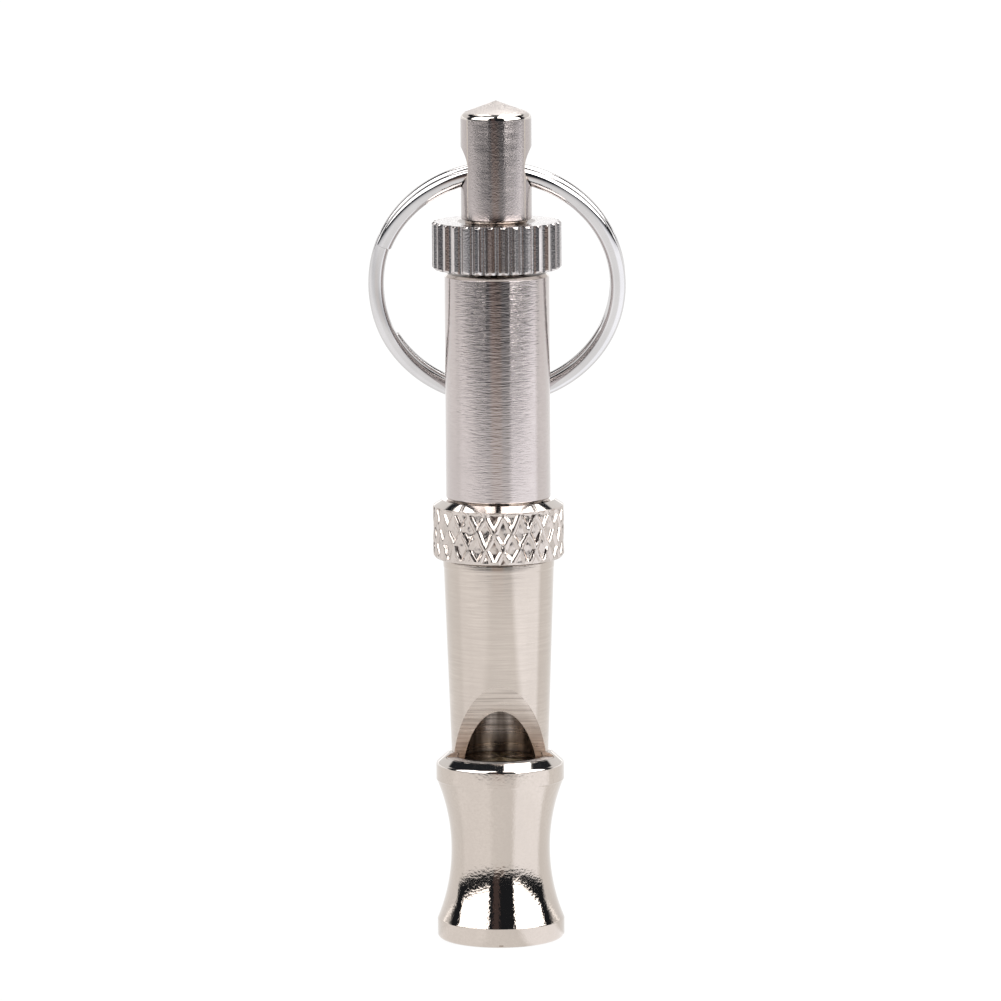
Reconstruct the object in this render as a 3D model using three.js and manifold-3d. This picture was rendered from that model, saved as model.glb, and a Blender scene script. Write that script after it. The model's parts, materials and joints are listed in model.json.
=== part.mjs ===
// A tunable training whistle, turned in plated brass. Millimetres, +Z from the mouth end to the ring end,
// origin at the middle of the mouth end. The window faces -Y and the cross hole for the ring runs along X.
import * as THREE from 'three';
import { mergeVertices } from 'three/addons/utils/BufferGeometryUtils.js';
import Module from 'manifold-3d';

const wasm = await Module();
wasm.setup();

// How finely round pieces are faceted, and the gaps between pieces
const FACETS = 48;
const SEAT_GAP = 0.05; // between pieces that are pressed or screwed together
const RUN_GAP = 0.1; // between pieces that turn or slide

// Heights above the mouth end
const MOUTH_BAND_TOP = 1.85;
const WAIST_HEIGHT = 8.6;
const SHOULDER_BAND_BOTTOM = 15.3;
const SHOULDER_BAND_TOP = 16.95;
const SHOULDER_TOP = 18.05;
const SOCKET_FLOOR = 13;
const PLUG_TOP = 17.35;
const WINDOW_FLOOR = 17.6;
const COLLAR_BOTTOM = 36.55;
const COLLAR_TOP = 42.2;
const NECK_TOP = 47.3;
const BARREL_BOTTOM = 42.35;
const BARREL_TOP = 63.7;
const NUT_BOTTOM = 64.1;
const NUT_TOP = 68.6;
const HEAD_BOTTOM = 68.75;
const HOLE_HEIGHT = 73.75;
const HEAD_SHOULDER = 78.35;
const CONE_BASE = 78.9;
const TIP = 80;

// Radii
const BORE_RADIUS = 3.6;
const MOUTH_RADIUS = 6.05;
const WAIST_RADIUS = 4.7;
const SHOULDER_RADIUS = 6.08;
const SOCKET_RADIUS = 4.25;
const TUBE_LOWER_RADIUS = 4.6;
const TUBE_UPPER_RADIUS = 5.22;
const TUBE_BAND_RADIUS = 5.28;
const NECK_RADIUS = 4.2;
const COLLAR_RADIUS = 6.2;
const COLLAR_BEVEL_RADIUS = 5.32;
const BARREL_RADIUS = 4.95;
const CHAMBER_RADIUS = 3.75;
const NUT_RADIUS = 6.1;
const THREAD_RADIUS = 3; // M6 with a pitch of 1, drawn as its outer cylinder
const HEAD_RADIUS = 3.35;
const CONE_RADIUS = 3.05;
const HOLE_RADIUS = 2;

// Window: one slanted flat, milled down to the bore, over a floor square to the axis
const RAMP_DEPTH = 1.3; // how far in front of the axis the ramp meets the floor
const RAMP_ANGLE = THREE.MathUtils.degToRad(25.8); // between the ramp and the axis

// Windway: the slit in front of the plug's flat
const PLUG_RADIUS = 3.55;
const PLUG_FLAT = 2.7;

// Plunger, its seal and its screw, as heights above the plunger's face
const PLUNGER_FACE = 24.5;
const PLUNGER_RADIUS = 3.5;
const PLUNGER_LENGTH = 4;
const SEAL_HEIGHT = 2.6;
const SEAL_WIRE = 0.5;
const SEAL_RADIUS = 3.04;
const GROOVE_RADIUS = 2.5;
const GROOVE_WIDTH = 1.1;
const COUNTERBORE_RADIUS = 1.95;
const COUNTERBORE_DEPTH = 1.5;
const PIN_RADIUS = 1;
const PIN_LENGTH = 7.5;
const PIN_HEAD_RADIUS = 1.85;
const PIN_HEAD_TOP = 1.4;
const SHANK_RADIUS = 2.2;
const SHANK_TOP = 50;

// Lock nut
const FLUTES = 30;
const FLUTE_DEPTH = 0.42;
const FLUTE_LAND = 0.25; // share of each flute's pitch left as a crest
const NUT_CHAMFER = 0.3;
const NUT_COUNTERSINK_RADIUS = 3.75;

// Split ring: two flat turns of oval wire, joined by one sloping crossing
const RING_RADIUS = 11.45; // to the middle of the wire
const RING_WIRE_WIDTH = 1.5;
const RING_WIRE_THICKNESS = 1.1;
const RING_WIRE_FACETS = 12;
const RING_TURN_SPACING = 1.18;
const RING_CROSSING = THREE.MathUtils.degToRad(50);
const RING_END_ANGLE = THREE.MathUtils.degToRad(159);
const RING_DROP = 11.95; // from the cross hole's axis to the ring's centre
const RING_LEAN = THREE.MathUtils.degToRad(16.2); // back from hanging straight down
const RING_STEPS = 100;

// Finishes
function finish(color, roughness, metalness) {
  return new THREE.MeshStandardMaterial({ color, roughness, metalness });
}

// A piece turned about +Z. The profile lists [radius, height] with the metal on its left.
function turned(profile, facets = FACETS) {
  const points = profile.map(([radius, height]) => new THREE.Vector2(radius, height));
  return new THREE.LatheGeometry(points, facets).rotateX(Math.PI / 2);
}

// Points of an arc in a profile, from one angle to another about a centre
function arc(centreRadius, centreHeight, radius, from, to, steps) {
  return Array.from({ length: steps + 1 }, (_, i) => {
    const angle = from + ((to - from) * i) / steps;
    return [centreRadius + radius * Math.cos(angle), centreHeight + radius * Math.sin(angle)];
  });
}

// A three.js geometry as a solid that can be joined and cut
function solid(geometry) {
  const bare = geometry.index ? geometry.toNonIndexed() : geometry.clone();
  bare.deleteAttribute('normal');
  bare.deleteAttribute('uv');
  const merged = mergeVertices(bare, 1e-4);
  const triVerts = new Uint32Array(merged.index.array);
  const vertProperties = merged.attributes.position.array;
  return new wasm.Manifold(new wasm.Mesh({ numProp: 3, vertProperties, triVerts }));
}

// A solid back as a three.js geometry
function geometryOf(body) {
  const mesh = body.getMesh();
  const geometry = new THREE.BufferGeometry();
  geometry.setAttribute('position', new THREE.BufferAttribute(new Float32Array(mesh.vertProperties), 3));
  geometry.setIndex(new THREE.BufferAttribute(new Uint32Array(mesh.triVerts), 1));
  const flat = geometry.toNonIndexed();
  flat.computeVertexNormals();
  return flat;
}

function piece(name, geometry, material, height = 0) {
  const mesh = new THREE.Mesh(geometry, material);
  mesh.name = name;
  mesh.position.z = height;
  return mesh;
}

// The wedge that the milling cutter takes out for the window, with its floor at the given height
function windowWedge(floor) {
  const reach = 12;
  const rise = (reach - RAMP_DEPTH) / Math.tan(RAMP_ANGLE);
  const side = new THREE.Shape();
  side.moveTo(-RAMP_DEPTH, floor);
  side.lineTo(-reach, floor + rise);
  side.lineTo(-reach, floor);
  side.closePath();
  const wedge = new THREE.ExtrudeGeometry(side, { depth: 2 * reach, bevelEnabled: false });
  wedge.translate(0, 0, -reach);
  // Stand the side view up: its x becomes Y, its y becomes Z, and the depth runs along X
  return wedge.applyMatrix4(new THREE.Matrix4().set(0, 0, 1, 0, 1, 0, 0, 0, 0, 1, 0, 0, 0, 0, 0, 1));
}

// Radius of the big hollow arc between the mouth band and the shoulder band
function waistArcRadius() {
  const rise = WAIST_HEIGHT - MOUTH_BAND_TOP;
  const depth = MOUTH_RADIUS - WAIST_RADIUS;
  return (rise * rise + depth * depth) / (2 * depth);
}

function mouthpieceGeometry() {
  const edge = 0.45;
  const radius = waistArcRadius();
  const lower = Math.asin((WAIST_HEIGHT - MOUTH_BAND_TOP) / radius);
  const upper = Math.asin((SHOULDER_BAND_BOTTOM - WAIST_HEIGHT) / radius);
  const body = turned([
    [BORE_RADIUS, 0],
    ...arc(MOUTH_RADIUS - edge, edge, edge, -Math.PI / 2, 0, 4),
    ...arc(WAIST_RADIUS + radius, WAIST_HEIGHT, radius, Math.PI + lower, Math.PI - upper, 12),
    [SHOULDER_RADIUS, SHOULDER_BAND_TOP],
    [TUBE_LOWER_RADIUS + 0.3, SHOULDER_TOP - 0.2],
    [TUBE_LOWER_RADIUS + 0.05, SHOULDER_TOP],
    [SOCKET_RADIUS, SHOULDER_TOP],
    [SOCKET_RADIUS, SOCKET_FLOOR],
    [BORE_RADIUS, SOCKET_FLOOR],
    [BORE_RADIUS, 0],
  ]);
  return geometryOf(solid(body).subtract(solid(windowWedge(WINDOW_FLOOR))));
}

// A round bar with a flat along its front, which leaves the windway open above the flat
function windwayPlugGeometry() {
  const half = Math.acos(PLUG_FLAT / PLUG_RADIUS);
  const front = -Math.PI / 2;
  const outline = new THREE.Shape();
  outline.absarc(0, 0, PLUG_RADIUS, front + half, front - half + 2 * Math.PI, false);
  outline.closePath();
  return new THREE.ExtrudeGeometry(outline, { depth: PLUG_TOP, bevelEnabled: false, curveSegments: 20 });
}

const TUBE_BOTTOM = SOCKET_FLOOR + SEAT_GAP;

function whistleTubeGeometry() {
  const shoulder = SHOULDER_TOP + SEAT_GAP - TUBE_BOTTOM;
  const band = COLLAR_BOTTOM - 0.8 - TUBE_BOTTOM;
  const top = COLLAR_BOTTOM - SEAT_GAP - TUBE_BOTTOM;
  const neck = NECK_TOP - TUBE_BOTTOM;
  const body = turned([
    [BORE_RADIUS, 0],
    [NECK_RADIUS, 0],
    [NECK_RADIUS, shoulder],
    [TUBE_LOWER_RADIUS, shoulder],
    [TUBE_UPPER_RADIUS, band],
    [TUBE_BAND_RADIUS, band + 0.1],
    [TUBE_BAND_RADIUS, top],
    [NECK_RADIUS, top],
    [NECK_RADIUS, neck - 0.2],
    [NECK_RADIUS - 0.2, neck],
    [BORE_RADIUS, neck],
    [BORE_RADIUS, 0],
  ]);
  return geometryOf(solid(body).subtract(solid(windowWedge(WINDOW_FLOOR - TUBE_BOTTOM))));
}

// The grip ring, pressed over the tube's neck
function collarGeometry() {
  const height = COLLAR_TOP - COLLAR_BOTTOM;
  const bevel = 0.55;
  const round = 0.45;
  return turned([
    [SOCKET_RADIUS, 0],
    [TUBE_BAND_RADIUS + 0.1, 0],
    ...arc(COLLAR_RADIUS - round, round, round, -Math.PI / 3, 0, 3),
    [COLLAR_RADIUS, height - bevel],
    [COLLAR_BEVEL_RADIUS, height],
    [SOCKET_RADIUS, height],
    [SOCKET_RADIUS, 0],
  ]);
}

// The barrel: a socket for the neck, a clear bore, and a threaded end for the tuning screw
function barrelGeometry() {
  const height = BARREL_TOP - BARREL_BOTTOM;
  const socket = NECK_TOP + 0.3 - BARREL_BOTTOM;
  const thread = height - 3.9;
  const holeRadius = THREAD_RADIUS + RUN_GAP;
  return turned([
    [SOCKET_RADIUS, 0],
    [BARREL_RADIUS - 0.12, 0],
    [BARREL_RADIUS, 0.12],
    [BARREL_RADIUS, height - 0.3],
    [BARREL_RADIUS - 0.3, height],
    [holeRadius + 0.4, height],
    [holeRadius, height - 0.4],
    [holeRadius, thread],
    [CHAMBER_RADIUS, thread - 0.6],
    [CHAMBER_RADIUS, socket],
    [SOCKET_RADIUS, socket],
    [SOCKET_RADIUS, 0],
  ]);
}

// The nut's outline: flutes hollowed between narrow crests
function nutOutline() {
  const steps = 6;
  const hollow = 1 - FLUTE_LAND;
  const points = [];
  for (let flute = 0; flute < FLUTES; flute += 1) {
    for (let step = 0; step < steps; step += 1) {
      const along = step / (steps - 1);
      const across = 2 * along - 1;
      const radius = NUT_RADIUS - FLUTE_DEPTH * (1 - across * across);
      const angle = (2 * Math.PI * (flute + hollow * along)) / FLUTES;
      points.push(new THREE.Vector2(radius * Math.cos(angle), radius * Math.sin(angle)));
    }
  }
  return new THREE.Shape(points);
}

function lockNutGeometry() {
  const height = NUT_TOP - NUT_BOTTOM;
  const holeRadius = THREAD_RADIUS + RUN_GAP;
  const fluted = new THREE.ExtrudeGeometry(nutOutline(), { depth: height, bevelEnabled: false });
  const blank = turned([
    [holeRadius, 0.4],
    [holeRadius + 0.4, 0],
    [NUT_RADIUS - NUT_CHAMFER, 0],
    [NUT_RADIUS + 0.1, NUT_CHAMFER + 0.1],
    [NUT_RADIUS + 0.1, height - NUT_CHAMFER - 0.1],
    [NUT_RADIUS - NUT_CHAMFER, height],
    [NUT_COUNTERSINK_RADIUS, height],
    [holeRadius, height - (NUT_COUNTERSINK_RADIUS - holeRadius)],
    [holeRadius, 0.4],
  ]);
  return geometryOf(solid(fluted).intersect(solid(blank)));
}

const SCREW_BOTTOM = PLUNGER_LENGTH + RUN_GAP;

// The tuning screw above the plunger's face: shank, thread and drilled head in one
function tuningScrewGeometry() {
  const socketRadius = PIN_RADIUS + SEAT_GAP;
  const level = (height) => height - PLUNGER_FACE;
  const body = turned([
    [0, PIN_LENGTH + 0.5],
    [socketRadius, PIN_LENGTH + 0.3],
    [socketRadius, SCREW_BOTTOM],
    [SHANK_RADIUS - 0.2, SCREW_BOTTOM],
    [SHANK_RADIUS, SCREW_BOTTOM + 0.2],
    [SHANK_RADIUS, level(SHANK_TOP)],
    [THREAD_RADIUS, level(SHANK_TOP) + 0.8],
    [THREAD_RADIUS, level(HEAD_BOTTOM)],
    [HEAD_RADIUS, level(HEAD_BOTTOM) + 0.35],
    [HEAD_RADIUS, level(HEAD_SHOULDER)],
    ...arc(HEAD_RADIUS - 0.6, level(HEAD_SHOULDER), 0.6, 0.2, 1.15, 3),
    [CONE_RADIUS, level(CONE_BASE)],
    [0, level(TIP)],
  ]);
  const hole = new THREE.CylinderGeometry(HOLE_RADIUS, HOLE_RADIUS, 10, FACETS);
  hole.rotateZ(Math.PI / 2).translate(0, 0, level(HOLE_HEIGHT));
  return geometryOf(solid(body).subtract(solid(hole)));
}

// The piston that closes the sounding chamber, bored for its screw and grooved for its seal
function plungerGeometry() {
  const grooveLow = SEAL_HEIGHT - GROOVE_WIDTH / 2;
  const grooveHigh = SEAL_HEIGHT + GROOVE_WIDTH / 2;
  const holeRadius = PIN_RADIUS + RUN_GAP;
  return turned([
    [COUNTERBORE_RADIUS, 0],
    [PLUNGER_RADIUS - 0.15, 0],
    [PLUNGER_RADIUS, 0.15],
    [PLUNGER_RADIUS, grooveLow],
    [GROOVE_RADIUS, grooveLow],
    [GROOVE_RADIUS, grooveHigh],
    [PLUNGER_RADIUS, grooveHigh],
    [PLUNGER_RADIUS, PLUNGER_LENGTH - 0.15],
    [PLUNGER_RADIUS - 0.15, PLUNGER_LENGTH],
    [holeRadius, PLUNGER_LENGTH],
    [holeRadius, COUNTERBORE_DEPTH],
    [COUNTERBORE_RADIUS, COUNTERBORE_DEPTH],
    [COUNTERBORE_RADIUS, 0],
  ]);
}

function plungerSealGeometry() {
  return new THREE.TorusGeometry(SEAL_RADIUS, SEAL_WIRE, 8, FACETS);
}

// The slotted screw that holds the plunger on the tuning screw's end
function plungerScrewGeometry() {
  const headBottom = 0.3;
  const body = turned([
    [0, headBottom],
    [PIN_HEAD_RADIUS, headBottom],
    [PIN_HEAD_RADIUS, PIN_HEAD_TOP],
    [PIN_RADIUS, PIN_HEAD_TOP],
    [PIN_RADIUS, PIN_LENGTH - 0.4],
    [PIN_RADIUS - 0.4, PIN_LENGTH],
    [0, PIN_LENGTH],
  ], 32);
  const slot = new THREE.BoxGeometry(2 * PIN_HEAD_RADIUS + 1, 0.5, 1);
  slot.translate(0, 0, headBottom);
  return geometryOf(solid(body).subtract(solid(slot)));
}

// The ring's wire about Y: round once on the front layer, across, and round once on the back layer
class RingPath extends THREE.Curve {
  getPoint(t, target = new THREE.Vector3()) {
    const sweep = 4 * Math.PI - RING_CROSSING;
    const turn = t * sweep;
    const crossing = THREE.MathUtils.smoothstep(turn, 2 * Math.PI - RING_CROSSING, 2 * Math.PI);
    const angle = RING_END_ANGLE - turn;
    return target.set(
      RING_RADIUS * Math.cos(angle),
      RING_TURN_SPACING * (crossing - 0.5),
      RING_RADIUS * Math.sin(angle),
    );
  }
}

// The wire's section: an oval, its thickness along x
function ringSection() {
  const corners = Array.from({ length: RING_WIRE_FACETS }, (_, i) => {
    const angle = (2 * Math.PI * i) / RING_WIRE_FACETS;
    return new THREE.Vector2(
      (RING_WIRE_THICKNESS / 2) * Math.cos(angle),
      (RING_WIRE_WIDTH / 2) * Math.sin(angle),
    );
  });
  return new THREE.Shape(corners);
}

function splitRingGeometry() {
  const options = { steps: RING_STEPS, extrudePath: new RingPath(), bevelEnabled: false };
  return new THREE.ExtrudeGeometry(ringSection(), options);
}

const satinNickel = () => finish(0xbfb8ae, 0.38, 1);
const polishedNickel = () => finish(0xd6d0c8, 0.14, 1);

// The fixed body: everything that stays with the mouth
function fixedBody() {
  const group = new THREE.Group();
  group.add(piece('mouthpiece', mouthpieceGeometry(), satinNickel()));
  group.add(piece('windway_plug', windwayPlugGeometry(), finish(0xb08a4a, 0.4, 1)));
  group.add(piece('whistle_tube', whistleTubeGeometry(), satinNickel(), TUBE_BOTTOM));
  group.add(piece('knurled_collar', collarGeometry(), polishedNickel(), COLLAR_BOTTOM));
  group.add(piece('upper_barrel', barrelGeometry(), satinNickel(), BARREL_BOTTOM));
  return group;
}

// The ring hangs in the cross hole and leans back on the barrel
function ringGroup() {
  const group = new THREE.Group();
  group.position.z = HOLE_HEIGHT - PLUNGER_FACE;
  group.rotation.x = RING_LEAN;
  group.add(piece('split_ring', splitRingGeometry(), finish(0xc8c2ba, 0.2, 1), -RING_DROP));
  return group;
}

// Everything that travels when the pitch is tuned, measured from the plunger's face
function tuningGroup() {
  const group = new THREE.Group();
  group.position.z = PLUNGER_FACE;
  group.add(piece('plunger', plungerGeometry(), finish(0xb08a4a, 0.35, 1)));
  group.add(piece('plunger_seal', plungerSealGeometry(), finish(0x1c1c1c, 0.7, 0), SEAL_HEIGHT));
  group.add(piece('plunger_screw', plungerScrewGeometry(), finish(0xb08a4a, 0.35, 1)));
  group.add(piece('tuning_screw', tuningScrewGeometry(), polishedNickel()));
  group.add(ringGroup());
  return group;
}

const whistle = new THREE.Group();
whistle.add(fixedBody());
whistle.add(piece('lock_nut', lockNutGeometry(), polishedNickel(), NUT_BOTTOM));
whistle.add(tuningGroup());

export default whistle;
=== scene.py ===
"""Looks of the tunable training whistle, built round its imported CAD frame.

Lengths are in millimetres and become metres where a mesh is made, and only the studio's are in metres.
Heights and outer radii come from the CAD boxes, and joint places from the frame. The dimensions that those
don't give are named below, as in the CAD model, and edge rounding and surface detail are set here.
"""

import json
import math

import bmesh
import bpy
from mathutils import Matrix, Vector, noise


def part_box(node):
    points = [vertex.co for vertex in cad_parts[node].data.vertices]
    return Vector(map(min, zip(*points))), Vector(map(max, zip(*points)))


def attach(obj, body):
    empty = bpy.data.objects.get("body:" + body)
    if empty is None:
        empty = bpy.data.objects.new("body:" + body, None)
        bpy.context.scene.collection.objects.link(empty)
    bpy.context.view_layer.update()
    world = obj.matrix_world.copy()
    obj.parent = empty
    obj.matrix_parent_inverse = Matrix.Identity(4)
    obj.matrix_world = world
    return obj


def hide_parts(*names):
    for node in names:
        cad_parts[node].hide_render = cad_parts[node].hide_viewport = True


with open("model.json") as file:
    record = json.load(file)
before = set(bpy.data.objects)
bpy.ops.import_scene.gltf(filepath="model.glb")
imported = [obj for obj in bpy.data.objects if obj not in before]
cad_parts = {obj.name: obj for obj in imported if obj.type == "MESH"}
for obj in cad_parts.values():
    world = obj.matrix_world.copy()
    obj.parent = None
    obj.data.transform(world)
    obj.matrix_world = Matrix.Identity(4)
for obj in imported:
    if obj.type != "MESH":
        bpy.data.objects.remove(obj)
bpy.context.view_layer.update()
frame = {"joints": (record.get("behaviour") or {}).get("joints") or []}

MM = 0.001
SEGMENTS = 192
SMOOTH_ANGLE = math.radians(38)

# Dimensions that the CAD boxes don't give, as in the CAD model
BORE_RADIUS = 3.6
SOCKET_RADIUS = 4.25
SOCKET_FLOOR = 13.0
WAIST_RADIUS = 4.7
WAIST_HEIGHT = 8.6
MOUTH_RADIUS = 6.05
MOUTH_BAND_TOP = 1.85
SHOULDER_BAND_BOTTOM = 15.3
SHOULDER_BAND_TOP = 16.95
NECK_RADIUS = 4.2
TUBE_LOWER_RADIUS = 4.6
TUBE_UPPER_RADIUS = 5.22
WINDOW_FLOOR = 17.6
RAMP_DEPTH = 1.3
RAMP_ANGLE = math.radians(25.8)
COLLAR_BEVEL_RADIUS = 5.32
CHAMBER_RADIUS = 3.75
THREAD_RADIUS = 3.0
THREAD_HOLE_RADIUS = 3.1
PITCH = 1.0
HEAD_BOTTOM = 68.75
HEAD_SHOULDER = 78.35
HOLE_RADIUS = 2.0
SHANK_RADIUS = 2.2
SHANK_TOP = 50.0
RING_LEAN = math.radians(16.2)
RING_DROP = 11.95
RING_RADIUS = 11.45


# ---------------------------------------------------------------- measuring the frame


def extent(node):
    """Bottom, top and outer radius of a round CAD node, in millimetres."""
    low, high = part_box(node)
    return low.z / MM, high.z / MM, high.x / MM


def joint_point(name):
    """Where a joint sits, in metres."""
    joint = next(j for j in frame["joints"] if j["name"] == name)
    return Vector(joint["pos_m"])


# ---------------------------------------------------------------- mesh making


def filleted(corners, steps=5):
    """A closed outline of (radius, height) points through corners of (radius, height, rounding)."""
    points = []
    for i, (radius, height, rounding) in enumerate(corners):
        here = Vector((radius, height))
        if not rounding:
            points.append((radius, height))
            continue
        back = (Vector(corners[i - 1][:2]) - here).normalized()
        ahead = (Vector(corners[(i + 1) % len(corners)][:2]) - here).normalized()
        half = back.angle(ahead) / 2
        centre = here + (back + ahead).normalized() * rounding / math.sin(half)
        first = here + back * rounding / math.tan(half) - centre
        last = here + ahead * rounding / math.tan(half) - centre
        start = math.atan2(first.y, first.x)
        turn = (math.atan2(last.y, last.x) - start + math.pi) % (2 * math.pi) - math.pi
        for step in range(steps + 1):
            angle = start + turn * step / steps
            points.append((centre.x + rounding * math.cos(angle), centre.y + rounding * math.sin(angle)))
    return points


def arc(centre_radius, centre_height, radius, start, end, steps):
    """Corners along an arc, with no rounding of their own."""
    corners = []
    for step in range(steps + 1):
        angle = start + (end - start) * step / steps
        height = centre_height + radius * math.sin(angle)
        corners.append((centre_radius + radius * math.cos(angle), height, 0))
    return corners


def divided(points, low, high, spacing):
    """The outline with its steps between two heights split finely, so that relief can be cut into them."""
    fine = []
    for i, (radius, height) in enumerate(points):
        fine.append((radius, height))
        next_radius, next_height = points[(i + 1) % len(points)]
        rising = next_height > height
        if not rising or height < low - 1e-6 or next_height > high + 1e-6:
            continue
        count = max(1, round((next_height - height) / spacing))
        for k in range(1, count):
            share = k / count
            fine.append((radius + (next_radius - radius) * share, height + (next_height - height) * share))
    return fine


def new_piece(name, vertices, faces, angle=SMOOTH_ANGLE):
    """An object from vertices in millimetres, smooth but for edges sharper than the angle."""
    mesh = bpy.data.meshes.new(name)
    mesh.from_pydata([(x * MM, y * MM, z * MM) for x, y, z in vertices], [], faces)
    mesh.update()
    smooth(mesh, angle)
    piece = bpy.data.objects.new(name, mesh)
    bpy.context.scene.collection.objects.link(piece)
    return piece


def smooth(mesh, angle=SMOOTH_ANGLE):
    """Shades a mesh smooth but for edges sharper than the angle."""
    mesh.polygons.foreach_set("use_smooth", [True] * len(mesh.polygons))
    mesh.set_sharp_from_angle(angle=angle)


def revolved(name, outline, segments=SEGMENTS, relief=None, angle=SMOOTH_ANGLE):
    """A closed piece turned about Z. relief(turn, radius, height) gives each point's own radius."""
    vertices = []
    rings = []
    for radius, height in outline:
        if radius < 1e-6:
            rings.append([len(vertices)] * segments)
            vertices.append((0, 0, height))
            continue
        rings.append([len(vertices) + i for i in range(segments)])
        for i in range(segments):
            turn = 2 * math.pi * i / segments
            own = relief(turn, radius, height) if relief else radius
            vertices.append((own * math.cos(turn), own * math.sin(turn), height))
    faces = []
    for j, ring in enumerate(rings):
        above = rings[(j + 1) % len(rings)]
        for i in range(segments):
            k = (i + 1) % segments
            corners = dict.fromkeys((ring[i], ring[k], above[k], above[i]))
            if len(corners) > 2:
                faces.append(tuple(corners))
    return new_piece(name, vertices, faces, angle)


def lofted(name, loops):
    """A closed piece skinned over loops of as many points each, capped at the first and the last."""
    count = len(loops[0])
    vertices = [point for loop in loops for point in loop]
    faces = []
    for base in range(0, len(vertices) - count, count):
        for i in range(count):
            k = (i + 1) % count
            faces.append((base + i, base + k, base + count + k, base + count + i))
    faces.append(tuple(reversed(range(count))))
    faces.append(tuple(range(len(vertices) - count, len(vertices))))
    return new_piece(name, vertices, faces)


def cut(piece, cutter, angle=SMOOTH_ANGLE):
    """Takes the cutter's shape out of the piece."""
    modifier = piece.modifiers.new("cut", "BOOLEAN")
    modifier.operation = "DIFFERENCE"
    modifier.solver = "EXACT"
    modifier.object = cutter
    depsgraph = bpy.context.evaluated_depsgraph_get()
    mesh = bpy.data.meshes.new_from_object(piece.evaluated_get(depsgraph))
    piece.modifiers.clear()
    piece.data = mesh
    smooth(mesh, angle)
    bpy.data.objects.remove(cutter)


def break_lip(piece, height, width):
    """Takes the sharp edge off where the window's floor meets the slope in front of it."""
    shape = bmesh.new()
    shape.from_mesh(piece.data)
    shape.normal_update()
    lip = []
    for edge in shape.edges:
        if len(edge.link_faces) != 2 or abs(edge.verts[0].co.z / MM - height) > 0.001:
            continue
        slopes = sorted(face.normal.z for face in edge.link_faces)
        if abs(edge.verts[1].co.z / MM - height) < 0.001 and 0.1 < slopes[0] < 0.9 < slopes[1]:
            lip.append(edge)
    bmesh.ops.bevel(shape, geom=lip, offset=width * MM, segments=2, affect="EDGES", clamp_overlap=True)
    shape.to_mesh(piece.data)
    shape.free()
    smooth(piece.data)


def window_cutter():
    """The wedge that the milling cutter takes out: a slanted ramp over a floor square to the axis."""
    reach = 12
    rise = (reach - RAMP_DEPTH) / math.tan(RAMP_ANGLE)
    side = [(-RAMP_DEPTH, WINDOW_FLOOR), (-reach, WINDOW_FLOOR), (-reach, WINDOW_FLOOR + rise)]
    vertices = [(x, y, z) for x in (-reach, reach) for y, z in side]
    faces = [(0, 1, 2), (5, 4, 3), (0, 3, 4, 1), (1, 4, 5, 2), (2, 5, 3, 0)]
    return new_piece("window_cutter", vertices, faces)


# ---------------------------------------------------------------- materials


def colour_socket(sockets, name):
    """The colour socket of a mix node, which also has number and vector sockets of the same name."""
    return next(socket for socket in sockets if socket.name == name and socket.type == "RGBA")


def maths(tree, operation, first, second=0.0):
    """The result of one operation on values or plain numbers."""
    node = tree.nodes.new("ShaderNodeMath")
    node.operation = operation
    for socket, value in zip(node.inputs, (first, second)):
        if isinstance(value, (int, float)):
            socket.default_value = value
        else:
            tree.links.new(value, socket)
    return node.outputs["Value"]


def separated(tree, vector):
    """The X, Y and Z outputs of a vector."""
    node = tree.nodes.new("ShaderNodeSeparateXYZ")
    tree.links.new(vector, node.inputs["Vector"])
    return node.outputs


def azimuth_of(tree, place):
    """Degrees round from the object's front, positive to its right, of a separated place."""
    towards = maths(tree, "MULTIPLY", place["Y"], -1.0)
    return maths(tree, "MULTIPLY", maths(tree, "ARCTAN2", place["X"], towards), 180 / math.pi)


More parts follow.
